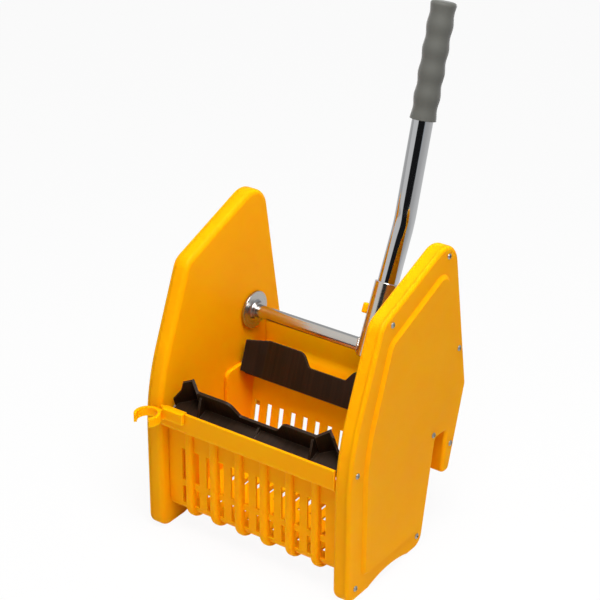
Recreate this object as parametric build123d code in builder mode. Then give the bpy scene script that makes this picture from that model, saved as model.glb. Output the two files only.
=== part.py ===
"""Down-press mop wringer: two side housings, a slotted basket, a lever and two press plates.

A bent lever turns a cross shaft. A gear train in each housing folds the rear press plate
forwards and the front press plate backwards, down onto the mop in the basket.

Frame: +X to the right housing, +Y to the back, +Z up, floor at z = 0, millimetres.
Side views are drawn as (depth behind the housings' front face, height above the floor).
"""

import math
import os

from build123d import *

os.makedirs("parts", exist_ok=True)

# Driving dimensions of the side housings
FRONT_Y = -173.6  # front face of the housings, so that the origin is under the middle of the whole part
HOUSING_WIDTH = 330  # over the flat margins of the two outer covers
POD_THICKNESS = 25
WALL = 3.5
COVER_THICKNESS = 6
COVER_EDGE_RADIUS = 5.5
FRAME_EDGE_RADIUS = 7
PANEL_RISE = 4  # raised middle of each cover
PANEL_RAMP = 5

# Driving dimensions of the basket
BASKET_WALL = 3.5
RIM_DEPTH = 2  # front rim behind the housings' front face
RIM_RISE = 22  # rim's upper and lower edges from the height of the plates' pivots
RIM_DROP = 10
FRONT_WALL_DEPTH = 17
FLOOR_HEIGHT = 28
FLOOR_RADIUS = 20
LEDGE_RISE = 11  # above the plates' pivots
REAR_PANEL_DEPTH = 242
REAR_PANEL_HEIGHT = 48  # above the ledge
RETURN_THICKNESS = 6
FRONT_RETURN_CORNER = 20
REAR_RETURN_DEPTH = 141  # front edge of the rear side returns
REAR_RETURN_CORNER = 10
FRONT_RETURN_DEPTH = 78
FRONT_RETURN_DROP = 16  # below the plates' pivots
SHAFT_CLEARANCE = 2  # round the rear press shaft, in the open slots of the rear returns
SLOT_WIDTH = 8.5
SLOT_MARGIN = 16.4  # middle of the end slots of the rear wall to the housings
FRONT_SLOTS = 12
REAR_SLOTS = 13
RIB_WIDTH = 12
RIB_RISE = 6.5
RIB_EDGE = 4.5
FRONT_SLOT_ROWS = ((45, 72), (81, 131))
REAR_SLOT_ROWS = ((44, 62), (75, 119))
FLOOR_SLOT_ROWS = ((50, 90), (110, 150))

# Driving dimensions of the lever
SHAFT_DEPTH = 207.5
SHAFT_RISE = 81.2  # above the plates' pivots
SHAFT_DIAMETER = 19
SHAFT_BORE = 14
DISC_DIAMETER = 54
DISC_THICKNESS = 4
DISC_ROUND = 0.8
COLLAR_DIAMETER = 25
COLLAR_LENGTH = 6
HUB_FLARE = 4  # rounding from the disc to its collar
DISC_GAP = 1.5  # disc to the housing's inner face
LEVER_INSET = 83  # lever's middle from the right housing
LEVER_LOWER_TILT = 25.5  # degrees back from upright
LEVER_UPPER_TILT = 15.7
LEVER_LOWER_LENGTH = 174
LEVER_UPPER_LENGTH = 296
LEVER_BEND_RADIUS = 200
LEVER_DIAMETER = 28.6
LEVER_WALL = 1.2
SOCKET_DIAMETER = 35
SOCKET_LENGTH = 91
SOCKET_FOOT = 13  # below the shaft's centre
SOCKET_WEB = 2  # between the shaft and the lever's end
SOCKET_ROUND = 1.2
GRIP_LENGTH = 156
GRIP_RADIUS = 17
GRIP_WAVE = 1
GRIP_WAVES = 5
GRIP_CAP = 6
GRIP_CORNER = 5
LOCK_PIN_HEIGHT = 50  # along the lever from the shaft
LOCK_PIN_DIAMETER = 8
LOCK_PIN_TIP = 1  # beyond the socket
LOCK_HEAD = (8, 10, 14)
LOCK_HEAD_CORNER = 2
LOCK_HEAD_ROUND = 1

# Driving dimensions of the press plates, in each plate's own directions:
# up along the plate from its pivot, and out from the pivot towards the mop
PIVOT_HEIGHT = 174
FRONT_PIVOT_DEPTH = 36
PLATE_TILT = 20  # degrees back from upright at rest
FRONT_PLATE_TOP = 46
REAR_PLATE_TOP = 48
PLATE_BOTTOM = -6
PLATE_THICKNESS = 4
PLATE_GAP = 2  # plate's end to the basket's side returns
# End of each plate: ridge from the plate's end, run and rise of the wing from its crease to the ridge,
# turn of the cheek from across in degrees, and the cheek's outline (up, and back from the ridge)
FRONT_END = (19, 16, 13, 38, ((-6, -2), (52, -2), (52, 11), (38, 17), (25, 31), (12, 31), (-6, 14)))
REAR_END = (0, 30, 13, 90, ((-2, 0), (42, 0), (42, 7), (16.5, 33), (13.5, 33), (0, 27), (-9, 18)))
NOTCH_HALF_WIDTH = 30
NOTCH_SLOPE = 13
NOTCH_DEPTH = 18
NOTCH_CORNERS = (6, 16)  # inner and outer rounding
BARREL_RADIUS = 9
CHEEK_THICKNESS = 3
PLATE_LEDGE = 15  # height of the stiffening ledge on the back
PLATE_LEDGE_REACH = 20
PLATE_RIB_THICKNESS = 3
PLATE_RIB_INSET = 42  # outer ribs from the plate's ends
PLATE_RIB_DROP = 6  # ribs' tops below the plate's edge
PRESS_SHAFT_DIAMETER = 12
FLAT_SHARE = 0.76  # width over the two drive flats of a shaft, as a share of its diameter

# Driving dimensions of the gear train
MODULE = 2.5
GEAR_TEETH = 20
GEAR_WIDTH = 8
ADDENDUM = 2.1
DEDENDUM = 2.9
FLANK_RELIEF = 0.35
PRESSURE_ANGLE = 20
IDLER_PIN_DIAMETER = 8
IDLER_HEAD_DIAMETER = 13
IDLER_SKIN = 1.5  # wall left behind the idler pins' blind holes
BUSH_FLANGE = 1.5
BUSH_WALL = 4

# Screws, clip and clearances
SCREW_DIAMETER = 4
SCREW_HEAD = (8, 2.2)  # diameter and height
SCREW_HEAD_TAPER = 15
SCREW_LENGTH = 9
BOSS_DIAMETER = 9
BASKET_SCREW_LENGTH = 7
CLIP_BORE = 28
CLIP_WALL = 4
CLIP_HEIGHT = 13
CLIP_DROP = 3  # clip's top below the rim
CLIP_OVERHANG = 6  # clip's middle past the left housing's inner face
CLIP_MOUTH = 90  # degrees
CLIP_MOUTH_SIDE = 270  # degrees from +X, seen from above
SADDLE_LENGTH = 33
SADDLE_INSET = 8  # saddle's outer end from the left housing
SADDLE_WALL = 1.5
SADDLE_LEG = 14
SADDLE_ROUND = 1.2
FIT = 0.05  # radial, shafts, pins and screws in their holes
RUN = 0.3  # between faces that move past each other

# Places worked out from the driving dimensions
OUTER_X = HOUSING_WIDTH / 2
INNER_X = OUTER_X - POD_THICKNESS
SEAM_X = OUTER_X - COVER_THICKNESS
POD_X = INNER_X + WALL
LEVER_X = INNER_X - LEVER_INSET
PLATE_HALF_WIDTH = INNER_X - RETURN_THICKNESS - PLATE_GAP
SLOT_PITCH = 2 * (INNER_X - SLOT_MARGIN) / (REAR_SLOTS - 1)
GEAR_X = POD_X + BUSH_FLANGE + RUN
GEAR_END_X = GEAR_X + GEAR_WIDTH
PITCH_RADIUS = MODULE * GEAR_TEETH / 2
REAR_PIVOT_DEPTH = FRONT_PIVOT_DEPTH + 6 * PITCH_RADIUS
RIM_TOP = PIVOT_HEIGHT + RIM_RISE
RIM_BOTTOM = PIVOT_HEIGHT - RIM_DROP
LEDGE_TOP = PIVOT_HEIGHT + LEDGE_RISE
FRONT_RETURN_TOP = PIVOT_HEIGHT - FRONT_RETURN_DROP
SIDES = (("left", -1), ("right", 1))

FRONT_PIVOT = (FRONT_PIVOT_DEPTH, PIVOT_HEIGHT)
FRONT_IDLER = (FRONT_PIVOT_DEPTH + 2 * PITCH_RADIUS, PIVOT_HEIGHT)
REAR_IDLER = (FRONT_PIVOT_DEPTH + 4 * PITCH_RADIUS, PIVOT_HEIGHT)
REAR_PIVOT = (REAR_PIVOT_DEPTH, PIVOT_HEIGHT)
LEVER_SHAFT = (SHAFT_DEPTH, PIVOT_HEIGHT + SHAFT_RISE)
SHAFT_REACH = math.dist(REAR_PIVOT, LEVER_SHAFT)  # bridged by the smallest idler that can mesh at both ends
SMALL_TEETH = math.ceil((SHAFT_REACH - 2 * PITCH_RADIUS) / MODULE)
SMALL_PITCH_RADIUS = MODULE * SMALL_TEETH / 2


def direction(start, end):
    """Angle in degrees of the line from start to end in the side view."""
    return math.degrees(math.atan2(end[1] - start[1], end[0] - start[0]))


def lever_idler_centre():
    """Centre in mesh with both the rear press gear and the lever's drive gear, on the rear side."""
    reach = PITCH_RADIUS + SMALL_PITCH_RADIUS
    half = SHAFT_REACH / 2
    line = math.radians(direction(REAR_PIVOT, LEVER_SHAFT))
    aside = math.sqrt(reach**2 - half**2)
    return (
        REAR_PIVOT[0] + half * math.cos(line) + aside * math.sin(line),
        REAR_PIVOT[1] + half * math.sin(line) - aside * math.cos(line),
    )


def mesh_phase(phase, teeth, next_teeth, angle):
    """Angle of a tooth of the next gear, which meshes with this one in the given direction."""
    return angle + 180 - (phase - angle) * teeth / next_teeth + 180 / next_teeth


LEVER_IDLER = lever_idler_centre()
FRONT_PHASE = 0
FRONT_IDLER_PHASE = mesh_phase(FRONT_PHASE, GEAR_TEETH, GEAR_TEETH, 0)
REAR_IDLER_PHASE = mesh_phase(FRONT_IDLER_PHASE, GEAR_TEETH, GEAR_TEETH, 0)
REAR_PHASE = mesh_phase(REAR_IDLER_PHASE, GEAR_TEETH, GEAR_TEETH, 0)
LEVER_IDLER_PHASE = mesh_phase(REAR_PHASE, GEAR_TEETH, SMALL_TEETH, direction(REAR_PIVOT, LEVER_IDLER))
DRIVE_PHASE = mesh_phase(LEVER_IDLER_PHASE, SMALL_TEETH, GEAR_TEETH, direction(LEVER_IDLER, LEVER_SHAFT))

# Side view of a housing: corners with their rounding radii, from the front foot round the top
NOTCH_DROP = 22  # below the plates' pivots, so that the rear press gear runs just above it
NOTCH_TOP = PIVOT_HEIGHT - NOTCH_DROP
NOTCH_FRONT = 207
LIP_BOTTOM = 85.4
REAR_FOOT = 179
HOUSING_CORNERS = (
    ((0, 0), 18),
    ((0, 214), 300),
    ((68.5, 380.3), 25),
    ((237.5, 445.4), 35),
    ((280, 206), 15),
    ((244.7, LIP_BOTTOM), 8),
    ((226.4, LIP_BOTTOM), 8),
    ((234, NOTCH_TOP), 5),
    ((NOTCH_FRONT, NOTCH_TOP), 5),
    ((REAR_FOOT, 0), 20),
)
FOOT_ARCH = ((50, 0), (98, 7.5), (146, 0))
PANEL_MARGIN = 16  # panel's lower edge above the notch, in front of it
PANEL_SHOULDER = 42  # and above it
PANEL_CORNERS = (
    ((31, 28), 12),
    ((31, 210), 250),
    ((83, 350), 18),
    ((219, 405), 22),
    ((256, 222), 18),
    ((220, NOTCH_TOP + PANEL_SHOULDER), 12),
    ((187, NOTCH_TOP + PANEL_MARGIN), 14),
    ((166, 28), 14),
)
LONG_BOSSES = ((89.5, 373), (220, 417), (257, 268), (245, 127), (166.5, 19), (18, 19))
FRONT_BOSS_HEIGHT = PIVOT_HEIGHT + 16  # clear of the front press gear's lower side
SHORT_BOSSES = (  # with the end of the web that holds each
    ((17.5, FRONT_BOSS_HEIGHT), (2, FRONT_BOSS_HEIGHT)),
    ((200, NOTCH_TOP + BOSS_DIAMETER), (206, NOTCH_TOP + 1)),
)
COVER_SCREWS = LONG_BOSSES + tuple(boss for boss, _ in SHORT_BOSSES)
BASKET_SCREW_DROP = 46  # upper screws below the plates' pivots, clear of the gears
BASKET_SCREW_HEIGHT = PIVOT_HEIGHT - BASKET_SCREW_DROP
BASKET_SCREWS = ((172, BASKET_SCREW_HEIGHT), (168, 70), (46, BASKET_SCREW_HEIGHT), (46, 70))
NOTCH_LEAN = (NOTCH_FRONT - REAR_FOOT) / NOTCH_TOP  # depth per height of the basket's rear wall


def rear_wall_depth(height):
    """Depth of the basket's rear outer face, just inside the housings' notch."""
    return REAR_FOOT + NOTCH_LEAN * height - 1


def side_plane(x):
    """Side view at x: local x is the depth behind the front face, local y the height."""
    return Plane(origin=(x, FRONT_Y, 0), x_dir=(0, 1, 0), z_dir=(1, 0, 0))


def place(x, point):
    """Point of the part at x and at a point of the side view."""
    return (x, FRONT_Y + point[0], point[1])


def save(piece, node):
    """Label a finished piece and write its file."""
    piece.part.label = node
    export_step(piece.part, f"parts/{node}.step")


def rounded_outline(corners):
    """Closed outline through corners that each have their own rounding radius."""
    with BuildLine() as outline:
        FilletPolyline(*[point for point, _ in corners], radius=[r for _, r in corners], close=True)
    return outline.line


def housing_face(inset=0):
    """Face of a housing's side view, shrunk by the inset."""
    with BuildSketch() as face:
        with BuildLine():
            add(rounded_outline(HOUSING_CORNERS))
        make_face()
        with BuildLine():
            ThreePointArc(*FOOT_ARCH)
            Line(FOOT_ARCH[2], FOOT_ARCH[0])
        make_face(mode=Mode.SUBTRACT)
        if inset:
            offset(amount=-inset, mode=Mode.REPLACE)
    return face.sketch


def panel_face(inset=0):
    """Face of a cover's raised panel, shrunk by the inset."""
    with BuildSketch() as face:
        with BuildLine():
            add(rounded_outline(PANEL_CORNERS))
        make_face()
        if inset:
            offset(amount=-inset, mode=Mode.REPLACE)
    return face.sketch


def flatted_circle(diameter, clearance=0):
    """Circle with two flats, the drive end of a shaft or the bore that fits it."""
    with BuildSketch() as face:
        Circle(diameter / 2 + clearance)
        Rectangle(diameter + 1, FLAT_SHARE * diameter + 2 * clearance, mode=Mode.INTERSECT)
    return face.sketch


def gear_face(teeth, phase):
    """Face of a gear with straight-flanked teeth; one tooth points along the phase angle."""
    pitch = MODULE * teeth / 2
    tip = pitch + ADDENDUM
    root = pitch - DEDENDUM
    slope = math.tan(math.radians(PRESSURE_ANGLE))
    half = MODULE * math.pi / 4 - FLANK_RELIEF
    half_tip = half * tip / pitch - ADDENDUM * slope
    half_root = half * root / pitch + DEDENDUM * slope
    corners = []
    for tooth in range(teeth):
        middle = math.radians(phase + 360 * tooth / teeth)
        for radius, shift in ((root, -half_root), (tip, -half_tip), (tip, half_tip), (root, half_root)):
            angle = middle + shift / radius
            corners.append((radius * math.cos(angle), radius * math.sin(angle)))
    with BuildSketch() as face:
        with BuildLine():
            Polyline(*corners, close=True)
        make_face()
    return face.sketch


# Side frames: the inner half of each housing, open outwards, with screw bosses and bearing holes
BUSH_DIAMETER = SHAFT_DIAMETER + 2 * BUSH_WALL
PRESS_BUSH_DIAMETER = PRESS_SHAFT_DIAMETER + 2 * BUSH_WALL
SHORT_BOSS_X = GEAR_END_X + 1
IDLERS = (FRONT_IDLER, REAR_IDLER, LEVER_IDLER)

for side, s in SIDES:
    with BuildPart() as side_frame:
        with BuildSketch(side_plane(s * INNER_X)):
            add(housing_face())
        extrude(amount=s * (SEAM_X - INNER_X))
        inner_face = side_frame.faces().sort_by(Axis.X)[0 if s > 0 else -1]
        fillet(inner_face.outer_wire().edges(), radius=FRAME_EDGE_RADIUS)
        with BuildSketch(side_plane(s * POD_X)):
            add(housing_face(WALL))
        extrude(amount=s * (SEAM_X - POD_X), mode=Mode.SUBTRACT)
        with BuildSketch(side_plane(s * POD_X)):
            with Locations(*LONG_BOSSES):
                Circle(BOSS_DIAMETER / 2)
        extrude(amount=s * (SEAM_X - POD_X))
        with BuildSketch(side_plane(s * SHORT_BOSS_X)):
            for boss, web_end in SHORT_BOSSES:
                with Locations(boss):
                    Circle(BOSS_DIAMETER / 2)
                with BuildLine():
                    Line(boss, web_end)
                trace(line_width=BOSS_DIAMETER / 2)
        extrude(amount=s * (SEAM_X - SHORT_BOSS_X))
        with BuildSketch(side_plane(s * POD_X)):
            with Locations(*IDLERS):
                Circle(IDLER_HEAD_DIAMETER / 2)
        extrude(amount=s * BUSH_FLANGE)
        with BuildSketch(side_plane(s * INNER_X)):
            with Locations(LEVER_SHAFT):
                Circle(BUSH_DIAMETER / 2 + FIT)
            with Locations(FRONT_PIVOT, REAR_PIVOT):
                Circle(PRESS_BUSH_DIAMETER / 2 + FIT)
            with Locations(*BASKET_SCREWS):
                Circle(SCREW_DIAMETER / 2 + FIT)
        extrude(amount=s * (WALL + BUSH_FLANGE), mode=Mode.SUBTRACT)
        with BuildSketch(side_plane(s * (INNER_X + IDLER_SKIN))):
            with Locations(*IDLERS):
                Circle(IDLER_PIN_DIAMETER / 2 + FIT)
        extrude(amount=s * (WALL + BUSH_FLANGE), mode=Mode.SUBTRACT)
        with BuildSketch(side_plane(s * SEAM_X)):
            with Locations(*COVER_SCREWS):
                Circle(SCREW_DIAMETER / 2 + FIT)
        extrude(amount=-s * (SEAM_X - SHORT_BOSS_X), mode=Mode.SUBTRACT)
    save(side_frame, f"{side}_side_frame")

# Side covers: the outer caps of the housings, with a flat margin and a raised middle panel
for side, s in SIDES:
    with BuildPart() as side_cover:
        with BuildSketch(side_plane(s * SEAM_X)):
            add(housing_face())
        extrude(amount=s * COVER_THICKNESS)
        outer_face = side_cover.faces().sort_by(Axis.X)[-1 if s > 0 else 0]
        fillet(outer_face.outer_wire().edges(), radius=COVER_EDGE_RADIUS)
        with BuildSketch(side_plane(s * OUTER_X)):
            add(panel_face())
        with BuildSketch(side_plane(s * (OUTER_X + PANEL_RISE))):
            add(panel_face(PANEL_RAMP))
        loft()
        with BuildSketch(side_plane(s * SEAM_X)):
            add(panel_face(PANEL_RAMP + WALL))
        extrude(amount=s * (COVER_THICKNESS + PANEL_RISE - WALL), mode=Mode.SUBTRACT)
        with BuildSketch(side_plane(s * SEAM_X)):
            with Locations(*COVER_SCREWS):
                Circle(SCREW_DIAMETER / 2 + FIT)
        extrude(amount=s * COVER_THICKNESS, mode=Mode.SUBTRACT)
    save(side_cover, f"{side}_side_cover")

# Cover screws: coned heads on the margin of each cover
for side, s in SIDES:
    with BuildPart() as cover_screws:
        with BuildSketch(side_plane(s * OUTER_X)):
            with Locations(*COVER_SCREWS):
                Circle(SCREW_DIAMETER / 2)
        extrude(amount=-s * SCREW_LENGTH)
        with BuildSketch(side_plane(s * OUTER_X)):
            with Locations(*COVER_SCREWS):
                Circle(SCREW_HEAD[0] / 2)
        extrude(amount=s * SCREW_HEAD[1], taper=SCREW_HEAD_TAPER)
    save(cover_screws, f"{side}_cover_screws")

# Basket: one moulding of stepped front wall, floor, leaning rear wall, ledge and rear panel
WALL_CENTRE = BASKET_WALL / 2
RETURN_FOOT = FLOOR_HEIGHT + FLOOR_RADIUS
FLOOR_LEAN_DEPTH = rear_wall_depth(FLOOR_HEIGHT)
BASKET_PATH = (
    (RIM_DEPTH, RIM_TOP),
    (RIM_DEPTH, RIM_BOTTOM),
    (FRONT_WALL_DEPTH, RIM_BOTTOM),
    (FRONT_WALL_DEPTH, FLOOR_HEIGHT),
    (FLOOR_LEAN_DEPTH, FLOOR_HEIGHT),
    (rear_wall_depth(LEDGE_TOP - BASKET_WALL), LEDGE_TOP - BASKET_WALL),
    (REAR_PANEL_DEPTH, LEDGE_TOP - BASKET_WALL),
    (REAR_PANEL_DEPTH, LEDGE_TOP + REAR_PANEL_HEIGHT),
)
BASKET_RADII = (6, 2, FLOOR_RADIUS, FLOOR_RADIUS, 5, 14)
RIB_PITCH = 2 * SLOT_PITCH
SHAFT_GAP = PRESS_SHAFT_DIAMETER + 2 * SHAFT_CLEARANCE
RIB_CENTRES = [RIB_PITCH * (i - 2.5) for i in range(6)]
RIB_START = (FRONT_WALL_DEPTH, RIM_BOTTOM + WALL_CENTRE)
RIB_CORNER = (FRONT_WALL_DEPTH, FLOOR_HEIGHT)
RIB_END = (FLOOR_LEAN_DEPTH - FLOOR_RADIUS, FLOOR_HEIGHT)


def slot_centres(count):
    """Places across the basket of a row of slots."""
    return [SLOT_PITCH * (i - (count - 1) / 2) for i in range(count)]


def slot_row(centres, low, high):
    """Add a row of upright slots to the sketch at hand."""
    with Locations(*[(x, (low + high) / 2) for x in centres]):
        Rectangle(SLOT_WIDTH, high - low)


with BuildPart() as basket:
    with BuildSketch(side_plane(-INNER_X)):
        with BuildLine():
            FilletPolyline(*BASKET_PATH, radius=BASKET_RADII)
            offset(amount=BASKET_WALL, side=Side.LEFT)
        make_face()
    extrude(amount=2 * INNER_X)
    for s in (-1, 1):
        with BuildSketch(side_plane(s * INNER_X)):
            with BuildLine():
                FilletPolyline(
                    (rear_wall_depth(FLOOR_HEIGHT) - FLOOR_RADIUS, FLOOR_HEIGHT + WALL_CENTRE),
                    (REAR_RETURN_DEPTH, FLOOR_HEIGHT + WALL_CENTRE),
                    (REAR_RETURN_DEPTH, LEDGE_TOP - 1),
                    (rear_wall_depth(LEDGE_TOP) - WALL_CENTRE, LEDGE_TOP - 1),
                    (rear_wall_depth(RETURN_FOOT) - WALL_CENTRE, RETURN_FOOT),
                    radius=(0, 0, REAR_RETURN_CORNER, 0, 0),
                    close=True,
                )
            make_face()
            with BuildLine():
                FilletPolyline(
                    (FRONT_WALL_DEPTH + WALL_CENTRE, RETURN_FOOT),
                    (FRONT_WALL_DEPTH + WALL_CENTRE, FRONT_RETURN_TOP),
                    (FRONT_RETURN_DEPTH, FRONT_RETURN_TOP),
                    (FRONT_RETURN_DEPTH, FLOOR_HEIGHT + WALL_CENTRE),
                    (FRONT_WALL_DEPTH + FLOOR_RADIUS, FLOOR_HEIGHT + WALL_CENTRE),
                    radius=(0, 0, FRONT_RETURN_CORNER, 0, 0),
                    close=True,
                )
            make_face()
            with Locations(REAR_PIVOT):
                Circle(SHAFT_GAP / 2, mode=Mode.SUBTRACT)
            gap_height = LEDGE_TOP - PIVOT_HEIGHT
            with Locations((REAR_PIVOT_DEPTH, PIVOT_HEIGHT + gap_height / 2)):
                Rectangle(SHAFT_GAP, gap_height, mode=Mode.SUBTRACT)
        extrude(amount=-s * RETURN_THICKNESS)
        with BuildSketch(side_plane(s * INNER_X)):
            with Locations(*BASKET_SCREWS):
                Circle(SCREW_DIAMETER / 2 + FIT)
        extrude(amount=-s * (BASKET_SCREW_LENGTH - WALL + RUN), mode=Mode.SUBTRACT)
    for x in RIB_CENTRES:
        with BuildLine(side_plane(x)):
            FilletPolyline(RIB_START, RIB_CORNER, RIB_END, radius=[FLOOR_RADIUS])
        with BuildSketch(Plane(origin=place(x, RIB_START), x_dir=(1, 0, 0), z_dir=(0, 0, -1))):
            with BuildLine():
                FilletPolyline(
                    (-RIB_WIDTH / 2, -WALL_CENTRE),
                    (-RIB_WIDTH / 2, RIB_RISE),
                    (RIB_WIDTH / 2, RIB_RISE),
                    (RIB_WIDTH / 2, -WALL_CENTRE),
                    radius=(0, RIB_EDGE, RIB_EDGE, 0),
                    close=True,
                )
            make_face()
        sweep()
    with BuildSketch(Plane.XZ.offset(-(FRONT_Y + FRONT_WALL_DEPTH - 1))):
        for low, high in FRONT_SLOT_ROWS:
            slot_row(slot_centres(FRONT_SLOTS), low, high)
    extrude(amount=-(BASKET_WALL + 2), mode=Mode.SUBTRACT)
    for low, high in REAR_SLOT_ROWS:
        with BuildSketch(Plane.XZ.offset(-(FRONT_Y + rear_wall_depth(low) - 2 * BASKET_WALL))):
            slot_row(slot_centres(REAR_SLOTS), low, high)
        extrude(amount=-(4 * BASKET_WALL + NOTCH_LEAN * (high - low)), mode=Mode.SUBTRACT)
    with BuildSketch(Plane.XY.offset(FLOOR_HEIGHT - 1)):
        for low, high in FLOOR_SLOT_ROWS:
            slot_row(slot_centres(FRONT_SLOTS), FRONT_Y + low, FRONT_Y + high)
    extrude(amount=BASKET_WALL + 2, mode=Mode.SUBTRACT)
save(basket, "basket")

# Basket screws: from inside the housings into the basket's side returns
with BuildPart() as basket_screws:
    for _, s in SIDES:
        with BuildSketch(side_plane(s * POD_X)):
            with Locations(*BASKET_SCREWS):
                Circle(SCREW_DIAMETER / 2)
        extrude(amount=-s * BASKET_SCREW_LENGTH)
        with BuildSketch(side_plane(s * POD_X)):
            with Locations(*BASKET_SCREWS):
                Circle(SCREW_HEAD[0] / 2)
        extrude(amount=s * SCREW_HEAD[1])
save(basket_screws, "basket_screws")


# Bushes: flanged bearings in the inner walls, flange in the housing, nose towards the basket
def bush(s, centre, diameter, bore, nose):
    """Flanged bush on a centre of the side view, whose nose stands out of the inner wall."""
    with BuildPart() as piece:
        with BuildSketch(side_plane(s * POD_X)):
            with Locations(centre):
                Circle(diameter / 2)
        extrude(amount=-s * (WALL + nose))
        with BuildSketch(side_plane(s * POD_X)):
            with Locations(centre):
                Circle(diameter / 2 + BUSH_WALL)
        extrude(amount=s * BUSH_FLANGE)
        with BuildSketch(side_plane(s * (INNER_X - nose))):
            with Locations(centre):
                Circle(bore / 2 + FIT)
        extrude(amount=s * (nose + WALL + BUSH_FLANGE), mode=Mode.SUBTRACT)
    return piece.part


with BuildPart() as shaft_bushes:
    for _, s in SIDES:
        add(bush(s, LEVER_SHAFT, BUSH_DIAMETER, SHAFT_DIAMETER, DISC_GAP - RUN))
save(shaft_bushes, "shaft_bushes")

with BuildPart() as press_bushes:
    for _, s in SIDES:
        for pivot in (FRONT_PIVOT, REAR_PIVOT):
            add(bush(s, pivot, PRESS_BUSH_DIAMETER, PRESS_SHAFT_DIAMETER, 0))
save(press_bushes, "press_bushes")

# Lever shaft: a chromed tube across the housings, with two drive flats at each end
with BuildPart() as lever_shaft:
    with BuildSketch(side_plane(-GEAR_END_X)):
        with Locations(LEVER_SHAFT):
            add(flatted_circle(SHAFT_DIAMETER))
    extrude(amount=2 * GEAR_END_X)
    with BuildSketch(side_plane(-GEAR_X + RUN / 2)):
        with Locations(LEVER_SHAFT):
            Circle(SHAFT_DIAMETER / 2)
    extrude(amount=2 * GEAR_X - RUN)
    with BuildSketch(side_plane(-GEAR_END_X)):
        with Locations(LEVER_SHAFT):
            Circle(SHAFT_BORE / 2)
    extrude(amount=2 * GEAR_END_X, mode=Mode.SUBTRACT)
save(lever_shaft, "lever_shaft")

# Shaft discs: turned flanges with a flared collar, which keep the shaft central between the housings
HUB_END = DISC_THICKNESS + COLLAR_LENGTH
for side, s in SIDES:
    disc_back = place(s * (INNER_X - DISC_GAP), LEVER_SHAFT)
    with BuildPart() as shaft_disc:
        with BuildSketch(Plane(origin=disc_back, x_dir=(-s, 0, 0), z_dir=(0, s, 0))):
            with BuildLine():
                FilletPolyline(
                    (0, SHAFT_DIAMETER / 2 + FIT),
                    (0, DISC_DIAMETER / 2),
                    (DISC_THICKNESS, DISC_DIAMETER / 2),
                    (DISC_THICKNESS, COLLAR_DIAMETER / 2),
                    (HUB_END, COLLAR_DIAMETER / 2),
                    (HUB_END, SHAFT_DIAMETER / 2 + FIT),
                    radius=(0, DISC_ROUND, DISC_ROUND, HUB_FLARE, DISC_ROUND, 0),
                    close=True,
                )
            make_face()
        revolve(axis=Axis(disc_back, (1, 0, 0)))
    save(shaft_disc, f"{side}_shaft_disc")


def tilted_plane(point, tilt):
    """Plane at the lever, square to a line that leans back from upright by the tilt."""
    lean = math.radians(tilt)
    return Plane(origin=place(LEVER_X, point), x_dir=(1, 0, 0), z_dir=(0, math.sin(lean), math.cos(lean)))


def along(point, tilt, length):
    """Point of the side view at a length up a line that leans back by the tilt."""
    lean = math.radians(tilt)
    return (point[0] + length * math.sin(lean), point[1] + length * math.cos(lean))


# Lever socket: a tube welded on the shaft, which takes the lever's lower end
SOCKET_FLOOR = SHAFT_DIAMETER / 2 + SOCKET_WEB
SOCKET_PLANE = tilted_plane(LEVER_SHAFT, LEVER_LOWER_TILT)
with BuildPart() as lever_socket:
    with BuildSketch(SOCKET_PLANE.offset(-SOCKET_FOOT)):
        Circle(SOCKET_DIAMETER / 2)
    extrude(amount=SOCKET_FOOT + SOCKET_LENGTH)
    fillet(lever_socket.edges().filter_by(GeomType.CIRCLE), radius=SOCKET_ROUND)
    with BuildSketch(SOCKET_PLANE.offset(SOCKET_FLOOR)):
        Circle(LEVER_DIAMETER / 2 + FIT)
    extrude(amount=SOCKET_LENGTH, mode=Mode.SUBTRACT)
    with BuildSketch(side_plane(LEVER_X - SOCKET_DIAMETER)):
        with Locations(LEVER_SHAFT):
            Circle(SHAFT_DIAMETER / 2 + FIT)
        with Locations(along(LEVER_SHAFT, LEVER_LOWER_TILT, LOCK_PIN_HEIGHT)):
            Circle(LOCK_PIN_DIAMETER / 2 + FIT)
    extrude(amount=2 * SOCKET_DIAMETER, mode=Mode.SUBTRACT)
save(lever_socket, "lever_socket")

# Lever tube: a chromed tube with one gentle bend, from the socket's floor up into the grip
LEVER_START = along(LEVER_SHAFT, LEVER_LOWER_TILT, SOCKET_FLOOR + RUN)
LEVER_BEND = along(LEVER_SHAFT, LEVER_LOWER_TILT, LEVER_LOWER_LENGTH)
LEVER_END = along(LEVER_BEND, LEVER_UPPER_TILT, LEVER_UPPER_LENGTH - GRIP_CAP - RUN)
with BuildPart() as lever_tube:
    with BuildLine(side_plane(LEVER_X)):
        FilletPolyline(LEVER_START, LEVER_BEND, LEVER_END, radius=[LEVER_BEND_RADIUS])
    with BuildSketch(tilted_plane(LEVER_START, LEVER_LOWER_TILT)):
        Circle(LEVER_DIAMETER / 2)
        Circle(LEVER_DIAMETER / 2 - LEVER_WALL, mode=Mode.SUBTRACT)
    sweep()
    with BuildSketch(side_plane(LEVER_X - SOCKET_DIAMETER)):
        with Locations(along(LEVER_SHAFT, LEVER_LOWER_TILT, LOCK_PIN_HEIGHT)):
            Circle(LOCK_PIN_DIAMETER / 2 + FIT)
    extrude(amount=2 * SOCKET_DIAMETER, mode=Mode.SUBTRACT)
save(lever_tube, "lever_tube")

# Lever grip: a soft sleeve with gentle finger waves and a rounded closed end
GRIP_BASE = along(LEVER_BEND, LEVER_UPPER_TILT, LEVER_UPPER_LENGTH - GRIP_LENGTH)
GRIP_PLANE = tilted_plane(GRIP_BASE, LEVER_UPPER_TILT)
GRIP_PROFILE = Plane(origin=GRIP_PLANE.origin, x_dir=GRIP_PLANE.x_dir, z_dir=-GRIP_PLANE.y_dir)


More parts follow.
